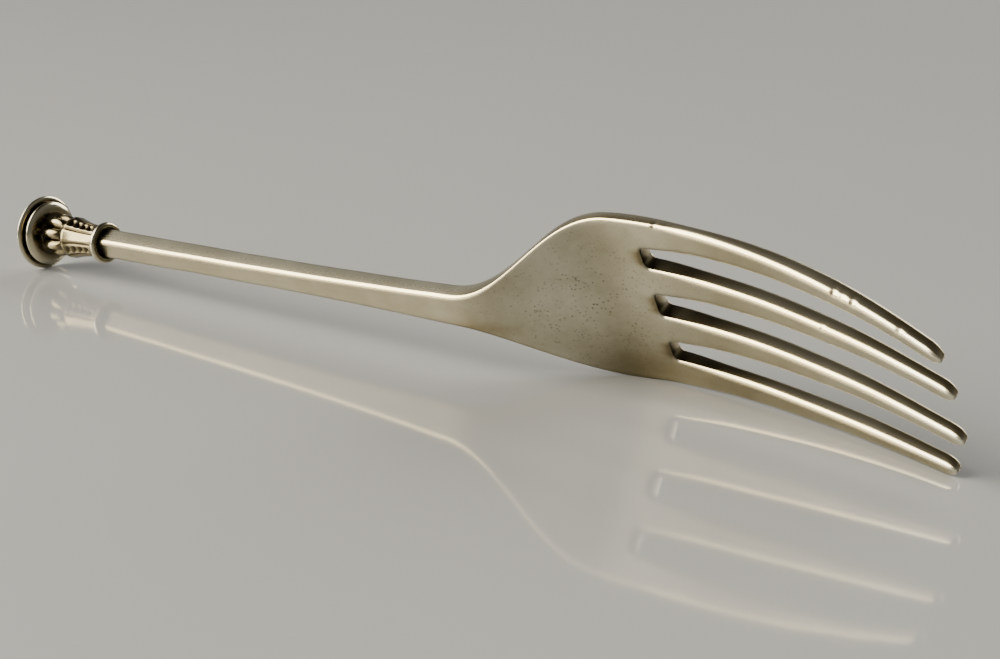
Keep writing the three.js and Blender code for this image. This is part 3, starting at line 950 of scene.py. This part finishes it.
def dress_finial(name, node, slot, grown, darkness):
    skin, hollows = grown
    piece = make_piece(name, node, skin.points, skin.faces)
    # The piece's tarnish plus the tarnish and painted shade of its hollows.
    grime = np.clip(darkness + hollows, 0, 1)
    mark(piece, grime=grime, rub=FINIAL_RUB * (1 - grime), pits=np.full(len(grime), FINIAL_PITS))
    piece.data.materials.append(silver(slot, FINIAL_DARKENING, FINIAL_ROUGHNESS, FINIAL_SHIFT))


def dress():
    dress_blank()
    dress_finial("rounded_collar", "collar_ring", "collar_silver", grow_collar(), darkness=0.25)
    dress_finial("panelled_neck", "fluted_neck", "neck_silver", grow_neck(), darkness=0.6)
    dress_finial("petal_knop", "lobed_knop", "knop_silver", grow_knop(), darkness=0.4)
    dress_finial("moulded_seal", "seal_disc", "seal_silver", grow_seal(), darkness=0.04)


# The camera, found from the photograph's frame of 1000 x 659 with its centre in the middle.
CAMERA_PLACE = (0.1597, -0.1996, 0.07907)
CAMERA_TURN = (73.495, -0.408, 37.287)
CAMERA_LENS = 76.595
CAMERA_SENSOR = 36
CAMERA_NEAR = 0.01


def make_camera():
    data = bpy.data.cameras.new("camera")
    data.lens = CAMERA_LENS
    data.sensor_width = CAMERA_SENSOR
    data.clip_start = CAMERA_NEAR
    camera = show("camera", data)
    camera.location = CAMERA_PLACE
    camera.rotation_euler = [math.radians(v) for v in CAMERA_TURN]
    bpy.context.scene.camera = camera


# A glossy pale table top in a dim room with pale walls and a dark ceiling.
FLOOR_HALF = 4.0
FLOOR_COLOUR = (0.36, 0.37, 0.385, 1)
FLOOR_CLOUD = (0.345, 0.355, 0.37, 1)
FLOOR_CLOUD_SCALE = 9
FLOOR_ROUGHNESS = 0.07
FLOOR_IOR = 1.6
WALL_LIGHT = (0.225, 0.22, 0.21, 1)
WALL_TOP = 0.62
CEILING_LIGHT = (0.05, 0.043, 0.034, 1)
CEILING_EDGE = 0.92


def make_floor():
    mesh = bpy.data.meshes.new("floor")
    corners = [(-1, -1), (1, -1), (1, 1), (-1, 1)]
    mesh.from_pydata([(x * FLOOR_HALF, y * FLOOR_HALF, 0) for x, y in corners], [], [(0, 1, 2, 3)])
    floor = show("floor", mesh)
    material = bpy.data.materials.new("glossy_floor")
    nodes = Nodes(material)
    place = nodes.add("TexCoord").outputs["Object"]
    colour = nodes.mix(nodes.noise(place, FLOOR_CLOUD_SCALE, detail=3), FLOOR_COLOUR, FLOOR_CLOUD)
    inputs = {"Base Color": colour, "Roughness": FLOOR_ROUGHNESS, "IOR": FLOOR_IOR}
    shader = nodes.add("BsdfPrincipled", inputs)
    nodes.add("OutputMaterial", {"Surface": shader.outputs[0]})
    mesh.materials.append(material)


def make_world():
    world = bpy.data.worlds.new("room")
    bpy.context.scene.world = world
    nodes = Nodes(world)
    direction = nodes.add("TexCoord").outputs["Generated"]
    height = nodes.add("SeparateXYZ", {"Vector": direction}).outputs["Z"]
    shades = nodes.add("ValToRGB", {"Fac": height})
    wall, ceiling = shades.color_ramp.elements
    wall.color = WALL_LIGHT
    wall.position = WALL_TOP
    ceiling.color = CEILING_LIGHT
    ceiling.position = CEILING_EDGE
    glow = nodes.add("Background", {"Color": shades.outputs["Color"]})
    nodes.add("OutputWorld", {"Surface": glow.outputs[0]})


def make_light(name, place, aim, size, power, colour):
    data = bpy.data.lights.new(name, "AREA")
    data.shape = "RECTANGLE"
    data.size, data.size_y = size
    data.energy = power
    data.color = colour
    light = show(name, data)
    light.location = place
    light.rotation_euler = (Vector(aim) - Vector(place)).to_track_quat("-Z", "Y").to_euler()


WARM = (1, 0.92, 0.75)
PALE = (1, 0.95, 0.85)


def make_lights():
    """A window on the left with a soft glow round it, and a weaker light from behind."""
    make_light("window", place=(-0.61, -0.51, 0.46), aim=(0, 0, 0), size=(0.8, 0.85), power=24, colour=WARM)
    make_light("glow", place=(-0.66, -0.55, 0.5), aim=(0, 0, 0), size=(1.3, 1.25), power=6, colour=WARM)
    make_light("back", place=(0.1, 0.9, 0.42), aim=(-0.05, 0, 0), size=(0.7, 0.6), power=12, colour=PALE)


make_camera()
make_floor()
make_world()
make_lights()
dress()
